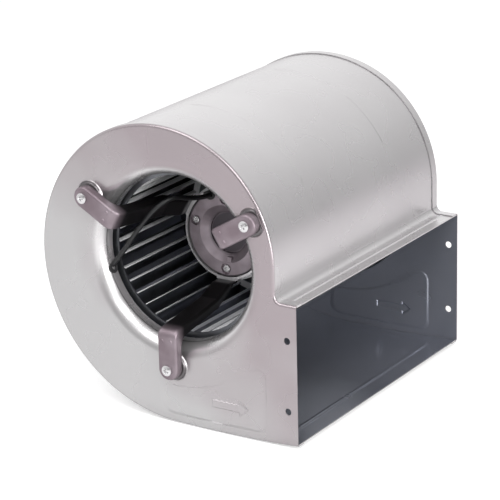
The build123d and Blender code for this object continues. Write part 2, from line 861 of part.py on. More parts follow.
with BuildPart() as front_winding:
    add(winding(core_front_y, -coil_depth_front))
front_winding.part.label = "front_winding"
export_step(front_winding.part, "parts/front_winding.step")

with BuildPart() as rear_winding:
    add(winding(core_back_y, coil_depth_back))
rear_winding.part.label = "rear_winding"
export_step(rear_winding.part, "parts/rear_winding.step")


def bearing(y):
    """Shaft bearing as one ring, from y along the shaft, with its running clearance in the bore."""
    with BuildPart() as ring:
        with BuildSketch(at_y(y)):
            Circle(bearing_radius)
            Circle(shaft_radius + shaft_clearance, mode=Mode.SUBTRACT)
        extrude(amount=-bearing_width)
    return ring.part


with BuildPart() as front_bearing:
    add(bearing(front_bearing_y))
front_bearing.part.label = "front_bearing"
export_step(front_bearing.part, "parts/front_bearing.step")

with BuildPart() as rear_bearing:
    add(bearing(rear_bearing_y))
rear_bearing.part.label = "rear_bearing"
export_step(rear_bearing.part, "parts/rear_bearing.step")

# Turning side of the motor
with BuildPart() as shaft:
    with BuildSketch(at_y(shaft_front_y)):
        Circle(shaft_radius)
    extrude(amount=shaft_front_y - shaft_back_y)
    chamfer(shaft.edges().group_by(Axis.Y)[0], shaft_chamfer)
    chamfer(shaft.edges().group_by(Axis.Y)[-1], shaft_chamfer)
    with BuildSketch(at_y(clip_y - clip_thickness)):
        Circle(shaft_radius)
        Circle(shaft_radius - clip_groove_depth, mode=Mode.SUBTRACT)
    extrude(amount=-clip_thickness, mode=Mode.SUBTRACT)
shaft.part.label = "shaft"
export_step(shaft.part, "parts/shaft.step")

with BuildPart() as shaft_clip:
    with BuildSketch(at_y(clip_y - clip_thickness)):
        Circle(clip_radius)
        Circle(shaft_radius - clip_groove_depth, mode=Mode.SUBTRACT)
        with Locations((clip_radius, 0)):
            Rectangle(2 * clip_radius, shaft_radius, mode=Mode.SUBTRACT)
    extrude(amount=-clip_thickness)
shaft_clip.part.label = "shaft_clip"
export_step(shaft_clip.part, "parts/shaft_clip.step")

with BuildPart() as rotor_shell:
    add(
        turned(
            (shell_bore_radius, shell_front_y),
            (shell_radius, shell_front_y),
            (shell_radius, shell_back_y),
            (shaft_radius, shell_back_y),
            (shaft_radius, shell_back_y - shell_wall - shell_boss_depth),
            (shell_boss_radius, shell_back_y - shell_wall - shell_boss_depth),
            (shell_boss_radius, shell_back_y - shell_wall),
            (shell_bore_radius, shell_back_y - shell_wall),
        )
    )
    fillet(rotor_shell.edges().group_by(Axis.Y)[-1].sort_by(SortBy.RADIUS)[-1], shell_back_rounding)
    with BuildSketch(at_y(shell_back_y)):
        with PolarLocations(vent_circle_radius, vent_count):
            Circle(vent_radius)
    extrude(amount=shell_wall, mode=Mode.SUBTRACT)
rotor_shell.part.label = "rotor_shell"
export_step(rotor_shell.part, "parts/rotor_shell.step")

with BuildPart() as rotor_cage:
    with BuildSketch(at_y(core_front_y - cage_overhang)):
        Circle(shell_bore_radius)
        Circle(cage_inner_radius, mode=Mode.SUBTRACT)
    extrude(amount=core_front_y - core_back_y - 2 * cage_overhang)
rotor_cage.part.label = "rotor_cage"
export_step(rotor_cage.part, "parts/rotor_cage.step")

# Impeller, riveted to the collar on the motor's shell
with BuildPart() as collar_rivets:
    places = [
        round_about(index * 360 / collar_rivet_count, collar_rivet_circle_radius)
        for index in range(collar_rivet_count)
    ]
    with BuildSketch(at_y(-disc_face - collar_wall)):
        with Locations(*places):
            Circle(rivet_radius)
    extrude(amount=-(collar_wall + disc_thickness))
    with BuildSketch(at_y(-disc_face - collar_wall)):
        with Locations(*places):
            Circle(rivet_head_radius)
    extrude(amount=rivet_head_height, taper=rivet_head_taper)
    with BuildSketch(at_y(disc_face)):
        with Locations(*places):
            Circle(rivet_head_radius)
    extrude(amount=-rivet_head_height, taper=rivet_head_taper)
collar_rivets.part.label = "collar_rivets"
export_step(collar_rivets.part, "parts/collar_rivets.step")

with BuildPart() as hub_collar:
    add(
        turned(
            (shell_radius, -disc_face),
            (shell_radius, -disc_face - collar_length),
            (shell_radius + collar_wall, -disc_face - collar_length),
            (shell_radius + collar_wall, -disc_face - collar_wall),
            (collar_flange_radius, -disc_face - collar_wall),
            (collar_flange_radius, -disc_face),
        )
    )
    add(collar_rivets.part, mode=Mode.SUBTRACT)
hub_collar.part.label = "hub_collar"
export_step(hub_collar.part, "parts/hub_collar.step")

with BuildPart() as centre_disc:
    with BuildSketch(at_y(-disc_face)):
        Circle(blade_outer_radius)
        Circle(shell_radius + disc_hub_gap, mode=Mode.SUBTRACT)
    extrude(amount=-disc_thickness)
    add(collar_rivets.part, mode=Mode.SUBTRACT)
centre_disc.part.label = "centre_disc"
export_step(centre_disc.part, "parts/centre_disc.step")


def blade_section():
    """One blade seen along the shaft: a forward-curved arc, its hollow side towards the turning."""
    inner = Vector(blade_inner_radius, 0)
    outer = Vector(*round_about(blade_lead, blade_outer_radius))
    chord = outer - inner
    middle = (inner + outer) / 2 + Vector(chord.Y, -chord.X).normalized() * blade_camber
    with BuildSketch() as section:
        with BuildLine():
            ThreePointArc(inner, middle, outer)
        trace(line_width=blade_thickness)
    return section.sketch


def blade_row(y_from, y_to):
    """Full ring of blades from y_from to y_to along the shaft."""
    with BuildPart() as row:
        with BuildSketch(at_y(y_from)):
            with PolarLocations(0, blade_count):
                add(blade_section())
        extrude(amount=y_from - y_to)
    return row.part


with BuildPart() as front_blades:
    add(blade_row(ring_y + ring_thickness, -disc_face))
front_blades.part.label = "front_blades"
export_step(front_blades.part, "parts/front_blades.step")

with BuildPart() as back_blades:
    add(blade_row(disc_face, -ring_y - ring_thickness))
back_blades.part.label = "back_blades"
export_step(back_blades.part, "parts/back_blades.step")

with BuildPart() as front_end_ring:
    add(
        turned(
            (blade_inner_radius, ring_y),
            (ring_lip_radius + ring_lip_wall, ring_y),
            (ring_lip_radius + ring_lip_wall, ring_y + ring_lip_depth),
            (ring_lip_radius, ring_y + ring_lip_depth),
            (ring_lip_radius, ring_y + ring_thickness),
            (blade_inner_radius, ring_y + ring_thickness),
        )
    )
front_end_ring.part.label = "front_end_ring"
export_step(front_end_ring.part, "parts/front_end_ring.step")

with BuildPart() as back_end_ring:
    add(front_end_ring.part)
    mirror(about=Plane.XZ, mode=Mode.REPLACE)
back_end_ring.part.label = "back_end_ring"
export_step(back_end_ring.part, "parts/back_end_ring.step")
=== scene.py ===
"""Looks of a double-inlet centrifugal fan, built round its fixed frame.

Sizes are in millimetres in the shape functions and become metres when a mesh is made. The shaft
lies along Y through the origin, the motor arms are at the -Y inlet, the air leaves towards +X,
and +Z is up.
"""

import json
import math

import bmesh
import bpy
import numpy as np
from mathutils import Matrix, Vector


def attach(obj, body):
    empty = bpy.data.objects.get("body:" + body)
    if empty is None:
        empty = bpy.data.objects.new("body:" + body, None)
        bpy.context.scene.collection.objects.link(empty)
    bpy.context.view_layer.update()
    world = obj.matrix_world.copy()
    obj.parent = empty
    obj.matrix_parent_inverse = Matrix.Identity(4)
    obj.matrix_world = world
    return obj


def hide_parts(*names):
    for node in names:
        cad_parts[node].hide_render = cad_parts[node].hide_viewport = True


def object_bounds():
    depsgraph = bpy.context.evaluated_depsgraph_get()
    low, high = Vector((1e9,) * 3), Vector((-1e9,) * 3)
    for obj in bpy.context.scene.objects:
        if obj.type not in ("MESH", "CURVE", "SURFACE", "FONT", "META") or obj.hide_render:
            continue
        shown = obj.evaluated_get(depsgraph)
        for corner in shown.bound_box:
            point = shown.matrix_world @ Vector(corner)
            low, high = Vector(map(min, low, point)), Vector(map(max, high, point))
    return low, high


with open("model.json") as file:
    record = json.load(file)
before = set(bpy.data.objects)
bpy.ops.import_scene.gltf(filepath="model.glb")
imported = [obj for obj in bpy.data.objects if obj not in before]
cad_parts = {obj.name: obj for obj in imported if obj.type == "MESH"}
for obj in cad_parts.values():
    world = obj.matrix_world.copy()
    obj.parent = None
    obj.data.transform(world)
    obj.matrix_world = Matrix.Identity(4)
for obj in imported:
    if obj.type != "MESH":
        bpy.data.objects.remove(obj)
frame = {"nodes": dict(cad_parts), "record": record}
cad_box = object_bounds()

MM = 0.001
MERGE_WITHIN = 0.002

# Camera, as solved from the photo
CAMERA_AZIMUTH = math.radians(32.80)
CAMERA_ELEVATION = math.radians(18.59)
CAMERA_ROLL = math.radians(-1.41)
CAMERA_DISTANCE = 2.175
CAMERA_ASIDE = 0.011388
CAMERA_ABOVE = 0.031622
FOCAL_LENGTH_MM = 167.54
SENSOR_WIDTH_MM = 36.0

# Room: its light on matt surfaces, and its brightness in gloss from the dim side to the bright side
WORLD_LIGHT = 0.55
BRIGHT_SIDE = (-0.75, 0.25, 0.60)
ROOM_SPREAD = (-0.5, 0.8)
ROOM_GREY = 0.24
ROOM_WHITE = 1.16

# Floor in metres: its brightness to the eye, and in gloss near, far to one side and at the fan's foot
FLOOR_HALF = 6.0
FLOOR_GAP = 0.0005
FLOOR_GLOW = 0.45
FLOOR_NEAR = 0.335
FLOOR_FAR = (0.03, 0.0, 0.02)
FLOOR_DIM_SIDE = (0.6, 0.8, 0.0)
FLOOR_FADE = (0.0, 0.5)
CONTACT_SHADE = 0.12
CONTACT_REACH = 0.03

# Lamps: place in metres, side and watts
LAMPS = (
    ("key_lamp", (-0.6, -1.4, 2.0), 1.4, 20.0),
    ("right_lamp", (2.0, -0.8, 0.4), 1.2, 30.0),
    ("rim_lamp", (0.92, -1.14, 1.32), 1.2, 16.0),
)

# Housing outline: tangent scroll arcs from the cut-off over the top to the outlet floor
SCROLL_RADII = np.array([115.0, 125.8, 137.5, 146.0, 1300.0])
SCROLL_STARTS = np.array([0.0, 66.0, 134.0, 202.0, 268.0])
FIRST_CENTRE = np.array([-8.5, 7.6])
OUTLET_X = 128.0
OUTLET_TOP = -20.0
CUTOFF_RADIUS = 6.0

# Sheet metal of the housing
FRONT = -150.0
WRAP_HALF_LENGTH = 148.0
SHEET = 1.0
RIM_DEPTH = 10.5
RIM_ROUNDING = 2.8
RAY_START = (0.0, -25.0)
BELL_RADIUS = 16.0
BELL_OUTER = 93.0
THROAT_LIP = 3.0
FIXING_HOLES = ((118.7, -53.5), (118.7, -119.5))
FIXING_RADIUS = 3.25

# Pressed panel and flow arrow
PANEL_DEPTH = 0.8
PANEL_SLOPE = 1.3
PANEL_LEFT = -12.5
PANEL_RIGHT = 96.0
PANEL_TOP = -86.0
PANEL_ARC = 117.5
PANEL_MARGIN = 9.0
PANEL_CORNER = 8.0
PANEL_FLOOR_FROM = -2.0
ARROW_TAIL = 39.0
ARROW_TIP = 77.0
ARROW_Z = -127.0
ARROW_HALF_SHAFT = 3.5
ARROW_HALF_HEAD = 7.0
ARROW_HEAD_LENGTH = 9.5
ARROW_SLOPE = 0.9

# Beads of the wrap, with the length or angle over which each runs out
BEAD_HEIGHT = 0.7
BEAD_HALF_WIDTH = 2.1
BEAD_Y = 72.0
BEAD_SECTORS = ((36.0, 66.0), (74.0, 103.0))
BEAD_RUN_OUT = 2.0
BEAD_RUN_OUT_ANGLE = 1.5
BEAD_ROOM = 3.0
OUTLET_BEAD_X = 117.0
OUTLET_BEAD_END = 139.5
FLOOR_BEAD_X = 107.0
FLOOR_BEAD_HALF_WIDTH = 3.4
FLOOR_BEAD_Y = (-WRAP_HALF_LENGTH, 135.0)

# Impeller blades
BLADE_COUNT = 36
BLADE_INNER = 73.2
BLADE_OUTER = 92.0
BLADE_LEAD = 6.0
BLADE_CAMBER = 5.1
BLADE_THICKNESS = 0.8
BLADE_FRONT_Y = -125.8
BLADE_BACK_Y = -0.6

# Feet of the motor arms
FOOT_ANGLES = (30.0, 270.0, 150.0)
FOOT_RADIUS = 99.0
PAD_HEIGHT = 3.0
PAD_BASE = 13.5
PAD_TOP = 11.8
FOOT_FACE_Y = -162.0
FOOT_BACK_Y = -160.0
SCREW_HEAD_RADIUS = 5.0
SCREW_HEAD_HEIGHT = 3.4
SCREW_HEAD_DOME = 1.5
SCREW_HEAD_EDGE = 1.9
SCREW_RADIUS = 2.5
SCREW_END_Y = -145.5
CROSS_DEPTH = 1.3
CROSS_HALF_WIDTH = 0.75
CROSS_REACH = 2.75
CROSS_TURN = 20.0
BUSH_RADIUS = 7.1
BUSH_BULGE = 0.4
BUSH_GROOVE = 0.9
BUSH_GROOVE_SHARE = 0.18
BUSH_BORE = 4.0

# Finishes change over these soft edges, each from start to end: depth either side of the middle
PLATE_FACES = (147.0, 149.0)
# Depth at which painted shade darkens the pads
PAD_PAINTED_SHADE = (150.3, 151.2)
SEAM_DEPTH = -FRONT - RIM_DEPTH - 0.5
SEAM_EDGE = (0.2, 0.7)
BLADE_ROW_END = (125.3, 125.6)

# Place along the shaft, and height plus place to the right
# Where painted shade starts down the arms' legs
ARM_LEG_PAINTED_SHADE = (-157.2, -147.5)
# Where the painted reflection starts on the side plates' upper right
PLATE_PAINTED_REFLECTION = (-120.0, 70.0)

# Distance from the shaft
# Painted shade in the casting's pocket and groove
POCKET_PAINTED_SHADE = (18.0, 21.5)
GROOVE_SHADE_START = (38.5, 39.8)
GROOVE_SHADE_END = (40.9, 41.1)
BRIGHT_RIM = (40.7, 41.0)
# Painted highlight on the blades' inner edges
BLADE_HIGHLIGHT_START = (69.5, 70.5)
BLADE_HIGHLIGHT_END = (76.4, 77.0)

# Patterns per metre
FINE_GRAIN = 300.0
CAST_GRAIN = 700.0
RUBBER_GRAIN = 500.0

# Motor lead, from the gland over the bell's edge and in through the bell to the wrap
LEAD_RADIUS = 2.3
LEAD_POINTS = [
    (-15.004, -57.0, 35.347),
    (-15.004, -79.0, 35.347),
    (-28.23, -122.0, 50.09),
    (-81.54, -138.5, -33.61),
    (-117.965, -133.0, -40.5),
    (-139.765, -130.1, -41.4),
]


def round_about(angle, radius=1.0):
    """Points in x and z at a direction in degrees and a distance from the centre."""
    turn = np.radians(angle)
    return np.asarray(radius)[..., None] * np.stack([np.cos(turn), np.sin(turn)], -1)


def smooth(value):
    """0 below 0, 1 above 1, and the soft step 3v^2 - 2v^3 between."""
    value = np.clip(value, 0.0, 1.0)
    return value * value * (3.0 - 2.0 * value)


def hump(distance, half_width):
    """Rounded bead: half a cosine wave, 1 on the middle line and 0 past half_width."""
    return 0.5 + 0.5 * np.cos(np.pi * np.clip(np.abs(distance) / half_width, 0.0, 1.0))


def scroll_centres():
    """Centre of each scroll arc: the one before, moved by the difference of radii where they meet."""
    steps = round_about(SCROLL_STARTS[1:], SCROLL_RADII[:-1] - SCROLL_RADII[1:])
    return np.vstack([FIRST_CENTRE, FIRST_CENTRE + np.cumsum(steps, axis=0)])


def stepped(*knots):
    """Values in even steps between knots given as value, count, value, count ... value."""
    runs = [
        np.linspace(low, high, count, endpoint=False)
        for low, count, high in zip(knots[0:-2:2], knots[1::2], knots[2::2])
    ]
    return np.concatenate(runs + [[knots[-1]]])


def housing_path(inset, shares):
    """Outline in x and z, `inset` inside: lip line, cut-off arc, side line, scroll arcs, floor arc.

    `shares` holds one row of fractions for each run, each from 0 up to but not including 1.
    """
    centres = scroll_centres()
    side_x = FIRST_CENTRE[0] + SCROLL_RADII[0]
    lip_centre = np.array([side_x + CUTOFF_RADIUS, OUTLET_TOP + CUTOFF_RADIUS])
    floor_reach = SCROLL_RADII[-1] - inset
    floor_end = 360.0 - math.degrees(math.acos((OUTLET_X - centres[-1, 0]) / floor_reach))
    lip_start = np.array([OUTLET_X, OUTLET_TOP - inset])
    lip_end = np.array([lip_centre[0], OUTLET_TOP - inset])
    side_start = np.array([side_x - inset, lip_centre[1]])
    side_end = np.array([side_x - inset, FIRST_CENTRE[1]])
    ends = list(SCROLL_STARTS[1:]) + [floor_end]
    runs = [
        lip_start + shares[0][:, None] * (lip_end - lip_start),
        lip_centre + round_about(270.0 - 90.0 * shares[1], np.full(len(shares[1]), CUTOFF_RADIUS + inset)),
        side_start + shares[2][:, None] * (side_end - side_start),
    ]
    for centre, radius, start, end, share in zip(centres, SCROLL_RADII, SCROLL_STARTS, ends, shares[3:]):
        turn = start + (end - start) * share
        runs.append(centre + round_about(turn, np.full(len(share), radius - inset)))
    runs.append(centres[-1:] + round_about(floor_end, floor_reach))
    return np.vstack(runs)


def even(steps):
    """Fractions 0, 1/steps ... up to but not including 1."""
    return np.arange(steps) / steps


def grid_faces(rows, columns, close_rows=False, close_columns=False):
    """Quads of a grid of points numbered row by row, closed round either way if asked."""
    row = np.arange(rows if close_rows else rows - 1)
    column = np.arange(columns if close_columns else columns - 1)
    first, second = (part.ravel() for part in np.meshgrid(row, column, indexing="ij"))
    ahead = (first + 1) % rows
    beside = (second + 1) % columns
    return np.stack(
        [
            first * columns + second,
            ahead * columns + second,
            ahead * columns + beside,
            first * columns + beside,
        ],
        -1,
    )


def walled(points, faces, wall):
    """Sheet of thickness `wall` from a surface: each point moved along its normal, edges closed by strips.

    Returns the points, the faces and which faces lie on the moved side.
    """
    corners = points[faces]
    across = np.cross(corners[:, 2] - corners[:, 0], corners[:, 3] - corners[:, 1])
    normals = np.zeros_like(points)
    for corner in range(4):
        np.add.at(normals, faces[:, corner], across)
    normals /= np.maximum(np.linalg.norm(normals, axis=1, keepdims=True), 1e-12)
    edges = np.vstack([faces[:, [corner, (corner + 1) % 4]] for corner in range(4)])
    keys = np.sort(edges, axis=1) @ np.array([len(points), 1])
    _, place, count = np.unique(keys, return_index=True, return_counts=True)
    border = edges[place[count == 1]]
    strip = np.stack([border[:, 1], border[:, 0], border[:, 0] + len(points), border[:, 1] + len(points)], -1)
    both = np.vstack([points, points + wall * normals])
    inner = np.repeat([False, True, False], [len(faces), len(faces), len(strip)])
    return both, np.vstack([faces, faces[:, ::-1] + len(points), strip]), inner


def holed(points, faces, flat_place, centre, radius):
    """Round hole: faces wholly inside it go, and the inner corners of those across it move to its edge."""
    away = flat_place - np.asarray(centre)
    distance = np.linalg.norm(away, axis=1)
    inside = distance < radius
    kept = faces[~inside[faces].all(axis=1)]
    moved = inside & (distance > 1e-6)
    new_place = flat_place.copy()
    new_place[moved] = np.asarray(centre) + away[moved] / distance[moved, None] * radius
    points = points.copy()
    points[moved, 0], points[moved, 2] = new_place[moved, 0], new_place[moved, 1]
    return points, kept


def mesh_piece(name, points, faces, slot, *stands_for, body="housing", sharp=32.0, inner=None):
    """Mesh from points in mm and quads: faces turned outwards, doubles merged, edges over `sharp` kept crisp.

    The faces point outwards when the volume that they sweep from the origin is positive. `inner` marks
    the faces on the sheet's inner side.
    """
    corners = points[faces]
    volume = np.einsum("ij,ij->i", corners[:, 0], np.cross(corners[:, 1], corners[:, 2])).sum()
    volume += np.einsum("ij,ij->i", corners[:, 0], np.cross(corners[:, 2], corners[:, 3])).sum()
    if volume < 0:
        faces = faces[:, ::-1]
    mesh = bpy.data.meshes.new(name)
    mesh.from_pydata((points * MM).tolist(), [], faces.tolist())
    mesh.materials.append(MATERIALS[slot])
    if inner is not None:
        # Inner faces take the sheet's inside finish, a painted shade.
        mesh.materials.append(SHEET_INSIDE_PAINTED_SHADE)
        mesh.polygons.foreach_set("material_index", inner.astype(np.int32))
    form = bmesh.new()
    form.from_mesh(mesh)
    bmesh.ops.remove_doubles(form, verts=form.verts, dist=MERGE_WITHIN * MM)
    bmesh.ops.delete(form, geom=[vert for vert in form.verts if not vert.link_faces], context="VERTS")
    form.to_mesh(mesh)
    form.free()
    mesh.polygons.foreach_set("use_smooth", np.ones(len(mesh.polygons), dtype=bool))
    mesh.set_sharp_from_angle(angle=math.radians(sharp))
    made = bpy.data.objects.new(name, mesh)
    bpy.context.scene.collection.objects.link(made)
    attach(made, body)
    if stands_for:
        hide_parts(*stands_for)
    return made


class Finish:
    """A Principled material with its patterns in the object's own metres."""

    def __init__(self, name, colour, metal=0.0, roughness=0.5):
        self.material = bpy.data.materials.new(name)
        self.material.use_nodes = True
        self.tree = self.material.node_tree
        self.shader = self.tree.nodes["Principled BSDF"]
        self.shader.inputs["Base Color"].default_value = (*colour, 1.0)
        self.shader.inputs["Metallic"].default_value = metal
        self.shader.inputs["Roughness"].default_value = roughness
        self.place = self.tree.nodes.new("ShaderNodeTexCoord").outputs["Object"]

    def node(self, kind, **inputs):
        """New node with its inputs set or linked, by name."""
        made = self.tree.nodes.new(kind)
        for name, value in inputs.items():
            socket = made.inputs[name.replace("_", " ")]
            if isinstance(value, bpy.types.NodeSocket):
                self.tree.links.new(value, socket)
            else:
                socket.default_value = value
        return made

    def math(self, operation, *values):
        """Result of one arithmetic node on values or sockets."""
        made = self.tree.nodes.new("ShaderNodeMath")
        made.operation = operation
        for socket, value in zip(made.inputs, values):
            if isinstance(value, bpy.types.NodeSocket):
                self.tree.links.new(value, socket)
            else:
                socket.default_value = value
        return made.outputs[0]

    def link(self, value, name):
        self.tree.links.new(value, self.shader.inputs[name])

    def axes(self):
        """The place's x, y and z."""
        return self.node("ShaderNodeSeparateXYZ", Vector=self.place).outputs

    def from_shaft(self):
        """Distance from the shaft's axis."""
        place = self.axes()
        squares = self.math("ADD", self.math("POWER", place["X"], 2.0), self.math("POWER", place["Z"], 2.0))
        return self.math("SQRT", squares)

    def noise(self, scale, detail=2.0):
        """Cloudy pattern from 0 to 1, `scale` per metre."""
        made = self.node("ShaderNodeTexNoise", Vector=self.place, Scale=scale, Detail=detail)
        return made.outputs["Fac"]

    def patches(self, scale=40.0):
        """Cloudy pattern, `scale` per metre, with its middle tones drawn out to 0 and 1."""
        return self.span(self.noise(scale), 0.0, 1.0, 0.35, 0.65)

    def span(self, value, low, high, start=0.0, end=1.0):
        """`value` from start..end carried over to low..high."""
        made = self.node(
            "ShaderNodeMapRange", Value=value, From_Min=start, From_Max=end, To_Min=low, To_Max=high
        )
        return made.outputs["Result"]

    def past(self, value, edge):
        """0 before the soft edge in mm, 1 past it."""
        return self.span(value, 0.0, 1.0, edge[0] * MM, edge[1] * MM)

    def within(self, value, edge):
        """1 before the soft edge in mm, 0 past it."""
        return self.span(value, 1.0, 0.0, edge[0] * MM, edge[1] * MM)

    def blend(self, factor, first, second):
        """Colour from `first` to `second` by factor."""
        mix = self.tree.nodes.new("ShaderNodeMix")
        mix.data_type = "RGBA"
        self.tree.links.new(factor, mix.inputs["Factor"])
        for socket, value in ((mix.inputs[6], first), (mix.inputs[7], second)):
            if isinstance(value, bpy.types.NodeSocket):
                self.tree.links.new(value, socket)
            else:
                socket.default_value = (*value, 1.0)
        return mix.outputs[2]

    def bump(self, height, distance, strength=1.0):
        """Relief of `height` at `distance` metres."""
        made = self.node("ShaderNodeBump", Height=height, Distance=distance, Strength=strength)
        self.link(made.outputs["Normal"], "Normal")


def galvanised_sheet():
    """Satin zinc coat: broad cloudy tone, a painted reflection that makes the side plates darker and pinker
    at their upper right, painted shade on the drawn pads, and a dark line along the rims' edges."""
    finish = Finish("galvanised_sheet", (0.60, 0.58, 0.585), metal=0.82)
    base = finish.blend(finish.noise(9.0), (0.68, 0.67, 0.675), (0.56, 0.54, 0.55))
    place = finish.axes()
    depth = finish.math("ABSOLUTE", place["Y"])
    faces = finish.past(depth, PLATE_FACES)
    base = finish.blend(faces, base, (0.47, 0.462, 0.467))
    # Painted reflection: the side plates darker and pinker towards their upper right.
    upper_right = finish.math("ADD", place["X"], place["Z"])
    uneven = finish.math("ADD", upper_right, finish.span(finish.noise(14.0), -0.12, 0.12))
    painted_reflection = finish.math("MULTIPLY", finish.past(uneven, PLATE_PAINTED_REFLECTION), faces)
    base = finish.blend(painted_reflection, base, (0.345, 0.302, 0.318))
    # Painted shade: the drawn pads under the feet darker.
    base = finish.blend(finish.past(depth, PAD_PAINTED_SHADE), base, (0.13, 0.12, 0.125))
    # A dark line along the rims' edges.
    off_seam = finish.math("ABSOLUTE", finish.math("SUBTRACT", depth, SEAM_DEPTH * MM))
    seam = finish.math("MULTIPLY", finish.within(off_seam, SEAM_EDGE), 0.75)
    finish.link(finish.blend(seam, base, (0.10, 0.09, 0.10)), "Base Color")
    finish.link(finish.span(finish.noise(22.0), 0.19, 0.36), "Roughness")
    return finish.material


def sheet_inside_painted_shade():
    """Inner side of the sheet: painted shade, as a darker and bluer copy of the zinc coat, uneven in tone and
    gloss.
    """
    finish = Finish("sheet_inside_painted_shade", (0.48, 0.50, 0.55), metal=0.72)
    base = finish.blend(finish.noise(12.0), (0.47, 0.485, 0.545), (0.30, 0.315, 0.37))
    finish.link(base, "Base Color")
    finish.link(finish.span(finish.noise(22.0), 0.12, 0.34), "Roughness")
    return finish.material


def plain_metal(name, dark, light, metal, glossy, rough):
    """Metal with patches of two tones, and a fine grain from glossy to rough."""
    finish = Finish(name, dark, metal=metal)
    grain = finish.noise(FINE_GRAIN, 3.0)
    finish.link(finish.blend(finish.patches(), dark, light), "Base Color")
    finish.link(finish.span(grain, glossy, rough), "Roughness")
    finish.bump(grain, 0.00004, 0.4)
    return finish.material


def arm_steel():
    """Dark coated steel of the arms, lighter on the front run, with painted shade that makes the legs nearly
    black.
    """
    finish = Finish("arm_steel", (0.21, 0.17, 0.19), metal=0.7)
    grain = finish.noise(FINE_GRAIN, 3.0)
    front = finish.blend(finish.patches(), (0.19, 0.15, 0.17), (0.28, 0.235, 0.26))
    # Painted shade: the arms turn nearly black down their legs inside the housing.
    leg_painted_shade = finish.past(finish.axes()["Y"], ARM_LEG_PAINTED_SHADE)
    finish.link(finish.blend(leg_painted_shade, front, (0.012, 0.011, 0.012)), "Base Color")
    finish.link(finish.span(grain, 0.33, 0.47), "Roughness")
    finish.bump(grain, 0.00004, 0.4)
    return finish.material


def motor_casting():
    """Cast aluminium face with a coarse grain, painted shade in its pocket and groove, and a bright machined
    rim.
    """
    finish = Finish("motor_casting", (0.10, 0.08, 0.095), metal=0.6)
    radius = finish.from_shaft()
    face = finish.blend(finish.patches(60.0), (0.27, 0.225, 0.25), (0.38, 0.325, 0.36))
    # Painted shade: the pocket and the groove darkened.
    face = finish.blend(finish.within(radius, POCKET_PAINTED_SHADE), face, (0.07, 0.06, 0.07))
    groove_painted_shade = finish.math(
        "MULTIPLY", finish.past(radius, GROOVE_SHADE_START), finish.within(radius, GROOVE_SHADE_END)
    )
    face = finish.blend(groove_painted_shade, face, (0.03, 0.028, 0.03))
    rim = finish.past(radius, BRIGHT_RIM)
    finish.link(finish.blend(rim, face, (0.75, 0.73, 0.75)), "Base Color")
    finish.link(finish.span(rim, 0.42, 0.22), "Roughness")
    finish.bump(finish.noise(CAST_GRAIN, 3.0), 0.00005, 0.5)
    return finish.material


def impeller_steel():
    """Galvanised impeller darkened by painted shade, with a painted highlight on the blades' inner edges."""
    finish = Finish("impeller_steel", (0.07, 0.075, 0.085), metal=0.9)
    # Painted shade: the impeller dark all over.
    painted_shade_tone = finish.blend(finish.patches(), (0.11, 0.115, 0.125), (0.17, 0.176, 0.19))
    radius = finish.from_shaft()
    # Painted highlight: a bright, less metallic band along the blades' inner edges.
    edge = finish.math(
        "MULTIPLY", finish.past(radius, BLADE_HIGHLIGHT_START), finish.within(radius, BLADE_HIGHLIGHT_END)
    )
    row = finish.within(finish.math("ABSOLUTE", finish.axes()["Y"]), BLADE_ROW_END)
    painted_highlight = finish.math("MULTIPLY", edge, row)
    finish.link(finish.blend(painted_highlight, painted_shade_tone, (0.95, 0.95, 0.96)), "Base Color")
    finish.link(finish.span(painted_highlight, 0.9, 0.25), "Metallic")
    finish.link(finish.span(finish.noise(FINE_GRAIN, 3.0), 0.28, 0.44), "Roughness")
    return finish.material


def rubber(name, colour, roughness):
    """Moulded rubber or plastic with a faint mottle."""
    finish = Finish(name, colour, roughness=roughness)
    mottle = finish.noise(RUBBER_GRAIN)
    finish.link(finish.span(mottle, roughness - 0.06, roughness + 0.06), "Roughness")
    finish.bump(mottle, 0.00003, 0.3)
    return finish.material


# Plain metals: darker tone, lighter tone, how metallic, and roughness from glossy to rough
SHELL = ((0.86, 0.85, 0.87), (0.92, 0.91, 0.93), 0.6, 0.30, 0.42)
ZINC = ((0.62, 0.61, 0.62), (0.70, 0.69, 0.70), 1.0, 0.18, 0.30)
BEARING = ((0.55, 0.55, 0.57), (0.62, 0.62, 0.64), 1.0, 0.12, 0.20)
LAMINATION = ((0.12, 0.12, 0.13), (0.18, 0.18, 0.19), 0.8, 0.40, 0.60)
COPPER = ((0.40, 0.12, 0.04), (0.50, 0.20, 0.07), 0.5, 0.25, 0.40)

MATERIALS = {
    "galvanised_sheet": galvanised_sheet(),
    "arm_steel": arm_steel(),
    "impeller_steel": impeller_steel(),
    "motor_casting": motor_casting(),
    "shell_steel": plain_metal("shell_steel", *SHELL),
    "zinc_fasteners": plain_metal("zinc_fasteners", *ZINC),
    "bearing_steel": plain_metal("bearing_steel", *BEARING),
    "lamination_steel": plain_metal("lamination_steel", *LAMINATION),
    "winding_copper": plain_metal("winding_copper", *COPPER),
    "black_rubber": rubber("black_rubber", (0.016, 0.016, 0.017), 0.5),
    "lead_sheath": rubber("lead_sheath", (0.006, 0.006, 0.007), 0.42),
}

SHEET_INSIDE_PAINTED_SHADE = sheet_inside_painted_shade()

for part in frame["record"]["subparts"]:
    cad_node = frame["nodes"][part["node"]]
    cad_node.data.materials.clear()
    cad_node.data.materials.append(MATERIALS[part["material_slot"]])


